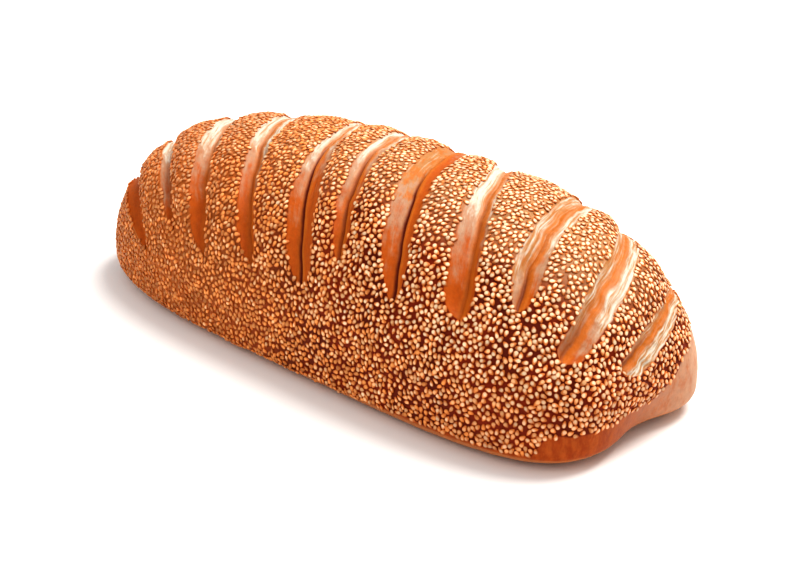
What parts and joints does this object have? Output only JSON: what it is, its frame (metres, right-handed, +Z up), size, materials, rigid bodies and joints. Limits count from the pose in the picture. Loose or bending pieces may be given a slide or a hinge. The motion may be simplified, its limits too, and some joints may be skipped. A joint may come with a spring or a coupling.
{
  "type": "whole wheat hearth loaf",
  "caption": "Long domed loaf of bread baked on a flat hearth, slashed across the top and covered with sesame seeds.",
  "frame": {"origin": "middle of the flat base, on the surface that the loaf rests on", "axes": "+X along the loaf towards its blunt, higher end, +Z up, -Y towards the front side, on which the slashes run down"},
  "size_m": [0.3408, 0.1428, 0.1031],
  "materials": {
    "crust": "baked crust, satin on the bare slashes and rough between them",
    "sesame": "toasted sesame seeds, dull and pale"
  },
  "bodies": {
    "root": {"loaf": "crust"}
  },
  "joints": []
}
